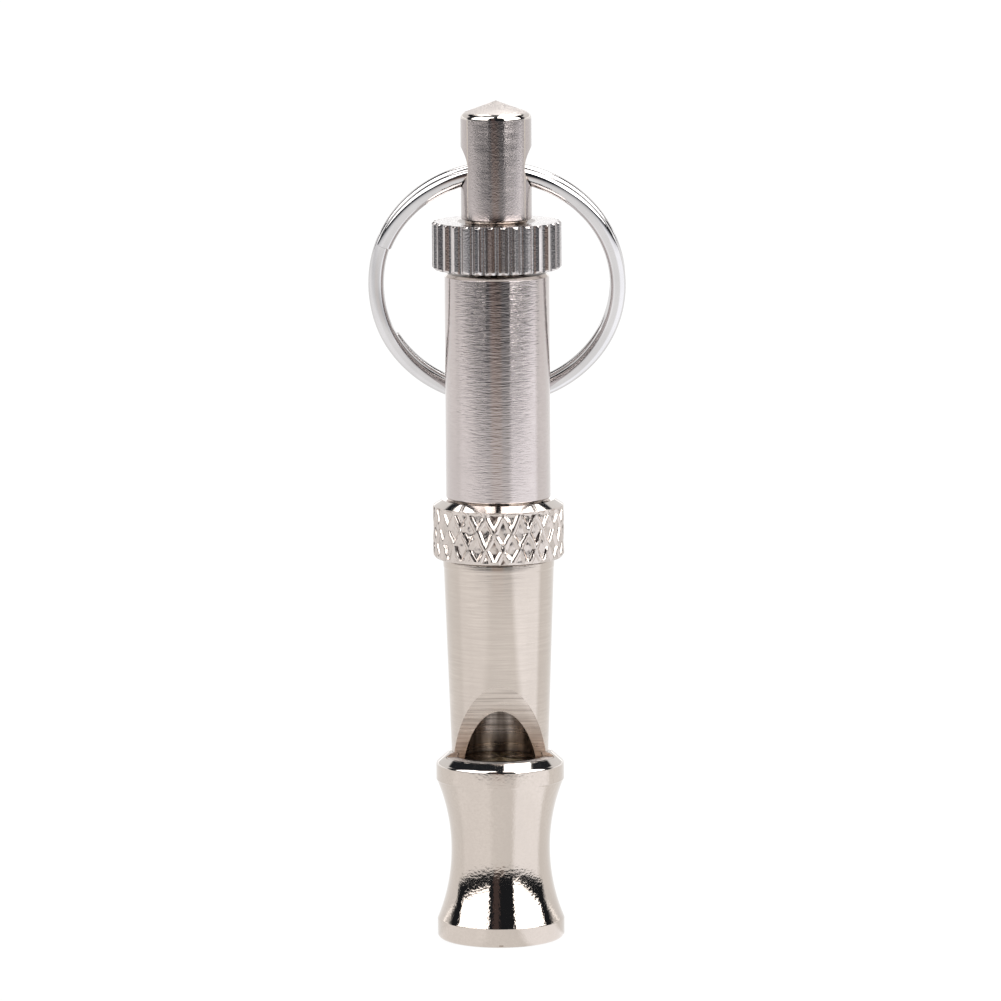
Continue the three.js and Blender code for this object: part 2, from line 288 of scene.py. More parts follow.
class Nodes:
    """A material's node tree, with short ways to add to it."""

    def __init__(self, name):
        self.material = bpy.data.materials.new(name)
        self.material.use_nodes = True
        self.tree = self.material.node_tree
        self.shader = self.tree.nodes["Principled BSDF"]
        self.coordinates = self.tree.nodes.new("ShaderNodeTexCoord").outputs["Object"]

    def noise(self, scale, detail=2.0, roughness=0.5, distortion=0.0):
        """Noise over the piece. scale is features per metre along X, Y and Z."""
        mapping = self.tree.nodes.new("ShaderNodeMapping")
        mapping.inputs["Scale"].default_value = scale
        self.tree.links.new(self.coordinates, mapping.inputs["Vector"])
        texture = self.tree.nodes.new("ShaderNodeTexNoise")
        texture.inputs["Scale"].default_value = 1.0
        texture.inputs["Detail"].default_value = detail
        texture.inputs["Roughness"].default_value = roughness
        texture.inputs["Distortion"].default_value = distortion
        self.tree.links.new(mapping.outputs["Vector"], texture.inputs["Vector"])
        return texture.outputs["Fac"]

    def spread(self, value, low, high, to_low, to_high):
        """A value stretched from one range to another."""
        node = self.tree.nodes.new("ShaderNodeMapRange")
        for socket, number in zip(("From Min", "From Max", "To Min", "To Max"), (low, high, to_low, to_high)):
            node.inputs[socket].default_value = number
        self.tree.links.new(value, node.inputs["Value"])
        return node.outputs["Result"]

    def blend(self, factor, first, second):
        """Two colours mixed by a value."""
        node = self.tree.nodes.new("ShaderNodeMix")
        node.data_type = "RGBA"
        for name, colour in (("A", first), ("B", second)):
            socket = colour_socket(node.inputs, name)
            if isinstance(colour, tuple):
                socket.default_value = (*colour, 1)
            else:
                self.tree.links.new(colour, socket)
        self.tree.links.new(factor, node.inputs["Factor"])
        return colour_socket(node.outputs, "Result")

    def maths(self, operation, first, second):
        return maths(self.tree, operation, first, second)

    def bump(self, height, depth, under=None):
        """Relief of a depth in millimetres, over any relief under it."""
        node = self.tree.nodes.new("ShaderNodeBump")
        node.inputs["Strength"].default_value = 1.0
        node.inputs["Distance"].default_value = depth * MM
        self.tree.links.new(height, node.inputs["Height"])
        if under:
            self.tree.links.new(under, node.inputs["Normal"])
        return node.outputs["Normal"]

    def set(self, socket, value):
        """Links a value to the shader, or sets a plain one."""
        if isinstance(value, bpy.types.NodeSocket):
            self.tree.links.new(value, self.shader.inputs[socket])
        else:
            self.shader.inputs[socket].default_value = value


def tinted(colour, share):
    """A colour made darker or lighter."""
    return tuple(channel * share for channel in colour)


NICKEL = (0.575, 0.51, 0.457)
COOL_NICKEL = (0.565, 0.51, 0.495)
BRASS = (0.52, 0.41, 0.27)


def turned_metal(name, colour, roughness, mark_width, mark_height, depth, contrast=0.0):
    """Turned and plated metal. Its tool marks have a width round it, a height along it and a depth, in
    millimetres, and a contrast in tint."""
    nodes = Nodes(name)
    width = 1 / (mark_width * MM)
    marks = nodes.noise((width, width, 1 / (mark_height * MM)), detail=2.0)
    patches = nodes.noise((240, 240, 90), detail=4.0, roughness=0.6)
    streaks = nodes.noise((420, 420, 3400), detail=3.0)
    pits = nodes.noise((5200, 5200, 5200), detail=1.0)
    stain = nodes.spread(patches, 0.35, 0.7, 0.0, 1.0)
    clean = nodes.blend(nodes.spread(marks, 0.3, 0.7, 0.0, 1.0), tinted(colour, 1 + contrast),
                        tinted(colour, 1 - contrast))
    nodes.set("Base Color", nodes.blend(stain, clean, tinted(colour, 0.93)))
    nodes.set("Roughness", nodes.spread(streaks, 0.3, 0.75, roughness * 0.85, roughness * 1.3))
    nodes.set("Normal", nodes.bump(pits, 0.0008, nodes.bump(marks, depth)))
    nodes.set("Metallic", 1.0)
    nodes.set("Anisotropic", 1.0)
    nodes.set("Anisotropic Rotation", 0.25)
    tangent = nodes.tree.nodes.new("ShaderNodeTangent")
    tangent.direction_type = "RADIAL"
    tangent.axis = "Z"
    nodes.set("Tangent", tangent.outputs["Tangent"])
    return nodes.material


def plated_metal(name, colour, roughness, peel, peel_size=0.22):
    """Bright plating with fine scratches, dull spots and orange peel of a depth and a size in millimetres."""
    nodes = Nodes(name)
    grain = 1 / (peel_size * MM)
    skin = nodes.noise((grain, grain, grain), detail=2.0)
    fine_skin = nodes.noise((grain * 3.1, grain * 3.1, grain * 3.1), detail=1.0)
    patches = nodes.noise((300, 300, 300), detail=4.0)
    scratches = nodes.noise((9000, 1500, 700), detail=2.0, distortion=0.4)
    stain = nodes.spread(patches, 0.35, 0.7, 0.0, 1.0)
    nodes.set("Base Color", nodes.blend(stain, colour, tinted(colour, 0.9)))
    nodes.set("Roughness", nodes.spread(scratches, 0.45, 0.75, roughness, roughness * 2.2))
    relief = nodes.bump(skin, peel)
    relief = nodes.bump(fine_skin, peel * 0.35, relief)
    nodes.set("Normal", relief)
    nodes.set("Metallic", 1.0)
    return nodes.material


def milled_metal(name):
    """The window's ramp: uneven straight milling marks across it, browner towards the window's floor."""
    nodes = Nodes(name)
    marks = nodes.noise((110, 110, 5200), detail=4.0, roughness=0.65)
    coarse = nodes.noise((80, 80, 1500), detail=2.0)
    place = separated(nodes.tree, nodes.coordinates)
    height = nodes.spread(place["Z"], WINDOW_FLOOR * MM, (WINDOW_FLOOR + 6) * MM, 1.0, 0.0)
    scored = nodes.spread(marks, 0.38, 0.56, 1.0, 0.0)
    bare = nodes.blend(height, NICKEL, (0.36, 0.28, 0.225))
    nodes.set("Base Color", nodes.blend(nodes.maths("MULTIPLY", scored, 0.42), bare, (0.12, 0.09, 0.075)))
    nodes.set("Roughness", nodes.spread(coarse, 0.3, 0.7, 0.24, 0.42))
    relief = nodes.bump(marks, 0.03)
    nodes.set("Normal", nodes.bump(coarse, 0.03, relief))
    nodes.set("Metallic", 1.0)
    return nodes.material


def bore_shade_metal(name):
    """The dull inside of a bore, its colour darkened with painted shade, streaked along it and ridged by the
    drill.
    """
    nodes = Nodes(name)
    ridges = nodes.noise((60, 60, 3000), detail=3.0)
    streaks = nodes.noise((900, 900, 60), detail=3.0)
    shade = nodes.spread(streaks, 0.35, 0.65, 0.0, 1.0)
    # Painted shade: both streaked tones are far darker than the brass itself
    nodes.set("Base Color", nodes.blend(shade, (0.42, 0.36, 0.32), (0.13, 0.105, 0.09)))
    nodes.set("Roughness", nodes.spread(ridges, 0.3, 0.7, 0.2, 0.4))
    nodes.set("Normal", nodes.bump(ridges, 0.03))
    nodes.set("Metallic", 1.0)
    return nodes.material


def rubber(name):
    """Matt black rubber with a fine grain."""
    nodes = Nodes(name)
    grain = nodes.noise((3000, 3000, 3000), detail=3.0)
    nodes.set("Base Color", nodes.blend(grain, (0.016, 0.016, 0.017), (0.035, 0.034, 0.033)))
    nodes.set("Roughness", nodes.spread(grain, 0.3, 0.7, 0.5, 0.75))
    nodes.set("Normal", nodes.bump(grain, 0.01))
    return nodes.material


SATIN = turned_metal(
    "satin_nickel", NICKEL, roughness=0.04,
    mark_width=0.3, mark_height=0.24, depth=0.012, contrast=0.04)
BARREL_SATIN = turned_metal(
    "barrel_nickel", COOL_NICKEL, roughness=0.12,
    mark_width=0.9, mark_height=0.15, depth=0.021, contrast=0.04)
TUBE_SATIN = turned_metal(
    "tube_nickel", NICKEL, roughness=0.10,
    mark_width=3.0, mark_height=0.15, depth=0.012, contrast=0.07)
HEAD = turned_metal(
    "head_nickel", tinted(COOL_NICKEL, 0.86), roughness=0.14,
    mark_width=0.18, mark_height=0.17, depth=0.017, contrast=0.05)
PLUG_BRASS = turned_metal(
    "plug_brass", BRASS, roughness=0.25,
    mark_width=6.0, mark_height=0.15, depth=0.006)
CONE = plated_metal("cone_nickel", (0.63, 0.59, 0.57), roughness=0.42, peel=0.012, peel_size=0.3)
BEVEL = plated_metal("bevel_nickel", (0.72, 0.67, 0.63), roughness=0.06, peel=0.0006)
NUT = plated_metal("nut_nickel", (0.66, 0.62, 0.605), roughness=0.08, peel=0.009, peel_size=0.15)
KNURLED = plated_metal("knurl_nickel", (0.60, 0.54, 0.50), roughness=0.15, peel=0.003)
RING = plated_metal("ring_nickel", (0.66, 0.645, 0.645), roughness=0.07, peel=0.0008, peel_size=0.3)
MILLED = milled_metal("milled_nickel")
SHADED_BORE = bore_shade_metal("bore_painted_shade")
SEAL_RUBBER = rubber("seal_rubber")


def paint(piece, *materials, choose=None):
    """Gives a piece its materials. choose(centre, normal), in millimetres, picks one for each face."""
    for material in materials:
        piece.data.materials.append(material)
    if choose:
        for face in piece.data.polygons:
            face.material_index = choose(face.center / MM, face.normal)


def fit(piece, node, body):
    """The piece stands for a CAD node, whose part it hides, and moves with its body."""
    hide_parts(node)
    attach(piece, body)


def across(point):
    """Distance from the axis."""
    return math.hypot(point.x, point.y)


# ---------------------------------------------------------------- the fixed body


def on_ramp(normal):
    """Whether a face lies on the window's slope."""
    return -normal.y * math.cos(RAMP_ANGLE) - normal.z * math.sin(RAMP_ANGLE) > 0.999


def mouthpiece():
    bottom, top, radius = extent("mouthpiece")
    rise = WAIST_HEIGHT - MOUTH_BAND_TOP
    depth = MOUTH_RADIUS - WAIST_RADIUS
    hollow = (rise * rise + depth * depth) / (2 * depth)
    lower = math.asin(rise / hollow)
    upper = math.asin((SHOULDER_BAND_BOTTOM - WAIST_HEIGHT) / hollow)
    outline = filleted([
        (BORE_RADIUS, bottom, 0.15),
        (MOUTH_RADIUS, bottom, 0.42),
        (MOUTH_RADIUS, MOUTH_BAND_TOP - 0.03, 0),
        *arc(WAIST_RADIUS + hollow, WAIST_HEIGHT, hollow, math.pi + lower, math.pi - upper, 90),
        (radius, SHOULDER_BAND_BOTTOM + 0.06, 0),
        (radius, SHOULDER_BAND_BOTTOM + 0.10, 0),
        (radius, SHOULDER_BAND_TOP, 0.4),
        (TUBE_LOWER_RADIUS + 0.26, top - 0.05, 0.06),
        (TUBE_LOWER_RADIUS + 0.02, top, 0),
        (SOCKET_RADIUS, top, 0),
        (SOCKET_RADIUS, SOCKET_FLOOR, 0),
        (BORE_RADIUS, SOCKET_FLOOR, 0),
    ])
    piece = revolved("mouthpiece_turned", outline)
    cut(piece, window_cutter())
    break_lip(piece, WINDOW_FLOOR, 0.08)

    def choose(centre, normal):
        if on_ramp(normal):
            return 4
        if abs(centre.z - WINDOW_FLOOR) < 0.01 and normal.z > 0.9:
            return 3
        if centre.z > SHOULDER_BAND_TOP - 0.1 and normal.z > 0.1:
            return 1
        return 2 if across(centre) < SOCKET_RADIUS + 0.02 and centre.z > 0.2 else 0

    paint(piece, SATIN, BEVEL, SHADED_BORE, CONE, MILLED, choose=choose)
    fit(piece, "mouthpiece", "body")


def windway_plug():
    low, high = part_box("windway_plug")
    radius = high.x / MM
    flat = -low.y / MM
    half = math.acos(flat / radius)
    steps = 96
    rim = []
    for i in range(steps + 1):
        angle = -math.pi / 2 + half + (2 * math.pi - 2 * half) * i / steps
        rim.append((radius * math.cos(angle), radius * math.sin(angle)))
    edge = 0.08
    levels = [(low.z / MM, edge), (low.z / MM + edge, 0), (high.z / MM - edge, 0), (high.z / MM, edge)]
    loops = []
    for height, inset in levels:
        share = 1 - inset / radius
        loops.append([(x * share, y * share, height) for x, y in rim])
    piece = lofted("windway_plug_bar", loops)
    paint(piece, PLUG_BRASS)
    fit(piece, "windway_plug", "body")


def whistle_tube():
    bottom, top, _ = extent("whistle_tube")
    _, shoulder, _ = extent("mouthpiece")
    collar, _, _ = extent("knurled_collar")
    band = TUBE_UPPER_RADIUS + 0.06
    outline = filleted([
        (BORE_RADIUS, bottom, 0),
        (NECK_RADIUS, bottom, 0.1),
        (NECK_RADIUS, shoulder + 0.02, 0),
        (TUBE_LOWER_RADIUS, shoulder + 0.02, 0),
        (TUBE_UPPER_RADIUS, collar - 0.85, 0.05),
        (band - 0.02, collar - 0.75, 0.05),
        (band, collar - 0.05, 0.05),
        (NECK_RADIUS, collar - 0.05, 0),
        (NECK_RADIUS, top, 0.15),
        (BORE_RADIUS, top, 0.05),
    ])
    piece = revolved("whistle_tube_milled", outline)
    cut(piece, window_cutter())

    def choose(centre, normal):
        if on_ramp(normal):
            return 1
        if normal.z > 0.9:
            return 0
        return 2 if across(centre) < NECK_RADIUS - 0.1 else 0

    paint(piece, TUBE_SATIN, MILLED, SHADED_BORE, choose=choose)
    fit(piece, "whistle_tube", "body")


# The knurl: crossed rounded ridges round sunken, uneven diamonds
KNURL_COUNT = 23
KNURL_CELL_HEIGHT = 3.2
KNURL_DEPTH = 0.19
KNURL_RIDGE = 0.21  # half a ridge's width, as a share of a cell
KNURL_DENT = 0.06
KNURL_WANDER = 0.11  # how far the ridges stray, as a share of a cell
KNURL_UNEVENNESS = 0.4  # how much the depth varies, as a share of itself


def knurl_cut(turn, height):
    """How deep the knurling tool has cut at a point of the collar."""
    place = Vector((4.2 * math.cos(turn), 4.2 * math.sin(turn), height * 0.75))
    over = turn * KNURL_COUNT / (2 * math.pi)
    up = height / KNURL_CELL_HEIGHT
    wander = KNURL_WANDER * noise.noise(place)
    ridge = 0
    for line in (over + up + wander, over - up - wander):
        away = abs((line + 0.5) % 1 - 0.5) / KNURL_RIDGE
        ridge = max(ridge, 1 - away * away)
    pressure = 1 + KNURL_UNEVENNESS * noise.noise(place * 1.3 + Vector((5, 0, 0)))
    dent = KNURL_DENT * max(0, noise.noise(place * 2.6) + 0.15)
    return KNURL_DEPTH * pressure * (1 - ridge) + dent


def knurled_collar():
    bottom, top, radius = extent("knurled_collar")
    bevel = 0.55
    corner = 0.45
    scalloped = 0.4  # share of the bevel that the knurl can reach
    bevel_foot = top - bevel - 0.06
    reached = top - bevel * (1 - scalloped)
    outline = filleted([
        (SOCKET_RADIUS, bottom, 0),
        (TUBE_UPPER_RADIUS + 0.12, bottom, 0.08),
        (radius - corner * 0.5, bottom + 0.12, 0.2),
        (radius, bottom + corner, 0.1),
        (radius, bevel_foot, 0),
        (radius, top - bevel, 0.04),
        (radius - (radius - COLLAR_BEVEL_RADIUS) * scalloped, reached, 0),
        (COLLAR_BEVEL_RADIUS, top, 0.05),
        (SOCKET_RADIUS, top, 0),
    ])
    outline = divided(outline, bottom, bevel_foot, 0.06)
    outline = divided(outline, bevel_foot, reached, 0.02)

    def relief(turn, own, height):
        if own < TUBE_UPPER_RADIUS + 0.3 or height > reached + 0.01:
            return own
        fade = min(max((top - bevel + 0.05 - height) / 0.25, 0), 1)
        return min(own, radius - knurl_cut(turn, height - bottom) * fade)

    piece = revolved("knurled_collar_ring", outline, KNURL_COUNT * 30, relief, math.radians(70))

    def choose(centre, normal):
        return 1 if centre.z > top - bevel + 0.02 and across(centre) > SOCKET_RADIUS + 0.02 else 0

    paint(piece, KNURLED, BEVEL, choose=choose)
    fit(piece, "knurled_collar", "body")


def upper_barrel():
    bottom, top, radius = extent("upper_barrel")
    _, neck, _ = extent("whistle_tube")
    thread = top - 3.9  # where the thread for the tuning screw begins
    outline = filleted([
        (SOCKET_RADIUS, bottom, 0),
        (radius, bottom, 0.12),
        (radius, top - 0.28, 0.06),
        (radius - 0.28, top, 0.06),
        (THREAD_HOLE_RADIUS + 0.4, top, 0.03),
        (THREAD_HOLE_RADIUS, top - 0.4, 0),
        (THREAD_HOLE_RADIUS, thread, 0),
        (CHAMBER_RADIUS, thread - 0.6, 0),
        (CHAMBER_RADIUS, neck + 0.3, 0),
        (SOCKET_RADIUS, neck + 0.3, 0),
    ])
    piece = revolved("upper_barrel_turned", outline)

    def choose(centre, normal):
        if across(centre) < SOCKET_RADIUS:
            return 2
        return 1 if centre.z > top - 0.27 else 0

    paint(piece, BARREL_SATIN, BEVEL, SHADED_BORE, choose=choose)
    fit(piece, "upper_barrel", "body")


# ---------------------------------------------------------------- the lock nut

FLUTES = 30
FLUTE_DEPTH = 0.42
FLUTE_LAND = 0.24


def flute_cut(turn):
    """How deep the flutes are at a turn of the nut."""
    place = (turn * FLUTES / (2 * math.pi)) % 1
    away = abs(place - 0.5) * 2 / (1 - FLUTE_LAND)
    return FLUTE_DEPTH * max(0, 1 - away * away)


def lock_nut():
    bottom, top, radius = extent("lock_nut")
    countersink = 0.65
    outline = filleted([
        (THREAD_HOLE_RADIUS, bottom + 0.4, 0),
        (THREAD_HOLE_RADIUS + 0.4, bottom, 0),
        (radius - 0.28, bottom, 0.05),
        (radius, bottom + 0.22, 0.05),
        (radius, top - 0.14, 0.05),
        (radius - 0.16, top, 0.05),
        (THREAD_HOLE_RADIUS + countersink, top, 0.05),
        (THREAD_HOLE_RADIUS, top - countersink, 0),
    ])
    outline = divided(outline, bottom, top, 0.25)

    def relief(turn, own, height):
        return min(own, radius - flute_cut(turn)) if own > radius - 0.6 else own

    piece = revolved("lock_nut_fluted", outline, FLUTES * 18, relief, math.radians(30))
    paint(piece, NUT)
    fit(piece, "lock_nut", "nut")


# ---------------------------------------------------------------- the tuning screw and what it carries

THREAD_DEPTH = 0.56  # as a share of the pitch
THREAD_CREST = 0.12  # half the crest's width and a flank's, as shares of half the pitch
THREAD_FLANK = 0.7
THREAD_FADE = 0.8  # the length over which the thread runs out at each end


def thread_cut(turn, height, low, high):
    """How deep the right-hand thread is cut at a point of the screw."""
    place = (height / PITCH - turn / (2 * math.pi)) % 1
    ridge = 1 - abs(2 * place - 1)
    flank = min(max((ridge - THREAD_CREST) / THREAD_FLANK, 0), 1)
    starting = min(max((height - low) / THREAD_FADE, 0), 1)
    ending = min(max((high - height) / THREAD_FADE, 0), 1)
    return THREAD_DEPTH * PITCH * flank * starting * ending


def screw_outline(low, high):
    """The tuning screw's outline, with its thread between two heights."""
    bottom, top, radius = extent("tuning_screw")
    pin = 1.05  # the hole for the plunger's screw
    pin_top = bottom + 3.8
    shoulder = 0.6
    return filleted([
        (0, pin_top + 0.2, 0),
        (pin, pin_top, 0),
        (pin, bottom, 0),
        (SHANK_RADIUS, bottom, 0.2),
        (SHANK_RADIUS, SHANK_TOP, 0),
        (THREAD_RADIUS, low, 0),
        (THREAD_RADIUS, high, 0),
        (THREAD_RADIUS, HEAD_BOTTOM, 0),
        (radius, HEAD_BOTTOM + 0.15, 0.06),
        *arc(radius - shoulder, HEAD_SHOULDER, shoulder, 0, 1.2, 10),
        (0, top, 0),
    ])


def cross_hole_drill(hole):
    """A round cutter along X through the head, at a place in millimetres."""
    drill = revolved("drill", [(0, -6), (HOLE_RADIUS, -6), (HOLE_RADIUS, 6), (0, 6)], 96)
    drill.matrix_world = Matrix.Translation(hole * MM) @ Matrix.Rotation(math.pi / 2, 4, "Y")
    return drill


def tuning_screw():
    low = SHANK_TOP + 0.8
    high = HEAD_BOTTOM - 0.1
    outline = divided(screw_outline(low, high), low - 0.01, high + 0.01, PITCH / 16)

    def relief(turn, own, height):
        if abs(own - THREAD_RADIUS) > 0.01 or not low < height < high:
            return own
        return own - thread_cut(turn, height, low, high)

    piece = revolved("tuning_screw_threaded", outline, 144, relief)
    hole = joint_point("ring_swing") / MM
    cut(piece, cross_hole_drill(hole))

    def choose(centre, normal):
        if centre.z < HEAD_BOTTOM:
            return 1
        in_hole = math.hypot(centre.y - hole.y, centre.z - hole.z) < HOLE_RADIUS + 0.01
        if in_hole:
            return 1
        if centre.z > HEAD_SHOULDER + 0.55:
            return 3
        return 2 if centre.z > HEAD_SHOULDER else 0

    paint(piece, HEAD, SATIN, BEVEL, CONE, choose=choose)
    fit(piece, "tuning_screw", "screw")


def plunger():
    bottom, top, radius = extent("plunger")
    seal_low, seal_high, _ = extent("plunger_seal")
    head_hole = 1.95
    shank_hole = 1.1
    groove = 2.5
    outline = filleted([
        (head_hole, bottom, 0.05),
        (radius, bottom, 0.15),
        (radius, seal_low - 0.05, 0.05),
        (groove, seal_low - 0.05, 0),
        (groove, seal_high + 0.05, 0),
        (radius, seal_high + 0.05, 0.05),
        (radius, top, 0.15),
        (shank_hole, top, 0.05),
        (shank_hole, bottom + 1.5, 0),
        (head_hole, bottom + 1.5, 0),
    ])
    piece = revolved("plunger_piston", outline, 128)
    paint(piece, PLUG_BRASS)
    fit(piece, "plunger", "piston")


def plunger_seal():
    low, high, radius = extent("plunger_seal")
    wire = (high - low) / 2
    outline = arc(radius - wire, (low + high) / 2, wire, 0, 2 * math.pi, 28)[:-1]
    piece = revolved("plunger_seal_ring", [(r, h) for r, h, _ in outline], 128)
    paint(piece, SEAL_RUBBER)
    fit(piece, "plunger_seal", "piston")


def plunger_screw():
    bottom, top, radius = extent("plunger_screw")
    head = bottom + 1.1
    shank = 1.0
    outline = filleted([
        (0, bottom, 0),
        (radius, bottom, 0.12),
        (radius, head, 0.05),
        (shank, head, 0),
        (shank, top - 0.3, 0.1),
        (shank - 0.3, top, 0.05),
        (0, top, 0),
    ])
    piece = revolved("plunger_screw_slotted", outline, 96)
    half = 0.25
    slot = new_piece(
        "slot_cutter",
        [(x, y, z) for x in (-4, 4) for y in (-half, half) for z in (bottom - 1, bottom + 0.5)],
        [(0, 1, 3, 2), (4, 6, 7, 5), (0, 4, 5, 1), (2, 3, 7, 6), (0, 2, 6, 4), (1, 5, 7, 3)],
    )
    cut(piece, slot)
    paint(piece, PLUG_BRASS)
    fit(piece, "plunger_screw", "screw")


# The split ring's wire
WIRE_WIDTH = 1.5
WIRE_THICKNESS = 1.1
WIRE_SQUARENESS = 0.85  # 1 is an oval, and less is squarer
WIRE_POINTS = 28
TURN_SPACING = 1.18
CROSSING = math.radians(50)
END_ANGLE = math.radians(159)


def ring_middle(turn):
    """Angle and axial place of the wire's middle, after a turn from the wire's front end."""
    share = min(max((turn - 2 * math.pi + CROSSING) / CROSSING, 0), 1)
    crossing = share * share * (3 - 2 * share)
    return END_ANGLE - turn, TURN_SPACING * (crossing - 0.5)


def wire_section(turn, size):
    """The points round the wire at a turn. size is 1, or less at its rounded ends."""
    angle, shift = ring_middle(turn)
    points = []
    for k in range(WIRE_POINTS):
        place = 2 * math.pi * k / WIRE_POINTS
        wide = math.copysign(abs(math.cos(place)) ** WIRE_SQUARENESS, math.cos(place)) * WIRE_WIDTH / 2
        thick = math.copysign(abs(math.sin(place)) ** WIRE_SQUARENESS, math.sin(place)) * WIRE_THICKNESS / 2
        radius = RING_RADIUS + wide * size
        points.append((radius * math.cos(angle), shift + thick * size, radius * math.sin(angle)))
    return points


def split_ring():
    steps = 420
    sweep = 4 * math.pi - CROSSING
    stations = [(0, 0.55), (0.004, 0.85), (0.012, 1)]
    stations += [(0.02 + (sweep - 0.04) * i / steps, 1) for i in range(steps + 1)]
    stations += [(sweep - 0.012, 1), (sweep - 0.004, 0.85), (sweep, 0.55)]
    loops = [wire_section(turn, size) for turn, size in stations]
    piece = lofted("split_ring_wire", loops)
    hinge = joint_point("ring_swing")
    place = Matrix.Translation(hinge) @ Matrix.Rotation(RING_LEAN, 4, "X")
    piece.data.transform(place @ Matrix.Translation((0, 0, -RING_DROP * MM)))
    paint(piece, RING)
    fit(piece, "split_ring", "ring")


# ---------------------------------------------------------------- studio

FLOOR_FRONT = -0.6  # the paper's near edge, in metres
FLOOR_REACH = 20
FLOOR_DROP = 0.00002
SHADE_NEAR = -0.10  # where the paper's painted shade starts, darkening towards the camera, in metres
SHADE_FAR = -0.335
LEFT_SECTOR = (-92, -20)  # degrees round from the camera's side where painted light from each softbox brightens the paper
RIGHT_SECTOR = (28, 95)
# Sectors of painted brown shade and of deeper painted shade
BROWN_SHADE_SECTOR = (-14, 9)
DEEP_SHADE_SECTOR = (-51, -20)
PAPER = (0.965, 0.965, 0.965)
# Colours the paper glows with where the metal mirrors it: painted light from each softbox, and painted shade,
# deeper and brown in some sectors
LEFT_PAINTED_LIGHT = (1.08, 1.08, 1.09)
RIGHT_PAINTED_LIGHT = (1.30, 1.32, 1.37)
PAINTED_SHADE = (0.27, 0.28, 0.30)
PAINTED_DEEP_SHADE = (0.10, 0.11, 0.13)
PAINTED_BROWN_SHADE = (0.38, 0.29, 0.25)


def sector(nodes, azimuth, start, end, soft=5):
    """1 between two directions round the object, in degrees."""
    rising = nodes.spread(azimuth, start - soft, start + soft, 0.0, 1.0)
    falling = nodes.spread(azimuth, end - soft, end + soft, 1.0, 0.0)
    return nodes.maths("MULTIPLY", rising, falling)


def floor_painted_light(nodes):
    """Painted light and shade on the paper as the metal mirrors it: painted light in sectors, and painted
    shade darker towards the camera.
    """
    place = separated(nodes.tree, nodes.coordinates)
    azimuth = azimuth_of(nodes.tree, place)
    lit = nodes.blend(sector(nodes, azimuth, *LEFT_SECTOR), PAPER, LEFT_PAINTED_LIGHT)
    lit = nodes.blend(sector(nodes, azimuth, *RIGHT_SECTOR), lit, RIGHT_PAINTED_LIGHT)
    shaded = nodes.blend(sector(nodes, azimuth, *DEEP_SHADE_SECTOR), PAINTED_SHADE, PAINTED_DEEP_SHADE)
    shaded = nodes.blend(sector(nodes, azimuth, *BROWN_SHADE_SECTOR, 3), shaded, PAINTED_BROWN_SHADE)
    shade = nodes.spread(place["Y"], SHADE_FAR, SHADE_NEAR, 1.0, 0.0)
    return nodes.blend(shade, lit, shaded)


def floor_paper():
    """Pale paper that glows, plain where the camera sees it, with painted light and shade where the metal
    mirrors it, and clear from below.
    """
    nodes = Nodes("floor_paper")
    tree = nodes.tree
    seen = tree.nodes.new("ShaderNodeLightPath").outputs["Is Camera Ray"]
    grain = nodes.noise((8, 8, 8), detail=2.0)
    nodes.set("Base Color", nodes.blend(grain, (0.043, 0.042, 0.041), (0.037, 0.037, 0.037)))
    nodes.set("Roughness", 0.9)
    nodes.set("Specular IOR Level", 0.0)
    # The paper glows plain for the camera, and with painted light and shade for what the metal mirrors
    nodes.set("Emission Color", nodes.blend(seen, floor_painted_light(nodes), PAPER))
    nodes.set("Emission Strength", 1.0)
    clear = tree.nodes.new("ShaderNodeBsdfTransparent")
    under = tree.nodes.new("ShaderNodeNewGeometry").outputs["Backfacing"]
    mix = tree.nodes.new("ShaderNodeMixShader")
    tree.links.new(under, mix.inputs[0])
    tree.links.new(nodes.shader.outputs["BSDF"], mix.inputs[1])
    tree.links.new(clear.outputs["BSDF"], mix.inputs[2])
    tree.links.new(mix.outputs["Shader"], tree.nodes["Material Output"].inputs["Surface"])
    return nodes.material


def studio_floor():
    reach = FLOOR_REACH
    mesh = bpy.data.meshes.new("floor")
    corners = [(-reach, FLOOR_FRONT), (reach, FLOOR_FRONT), (reach, reach), (-reach, reach)]
    mesh.from_pydata([(x, y, -FLOOR_DROP) for x, y in corners], [], [(0, 1, 2, 3)])
    floor = bpy.data.objects.new("floor", mesh)
    bpy.context.scene.collection.objects.link(floor)
    floor.data.materials.append(floor_paper())


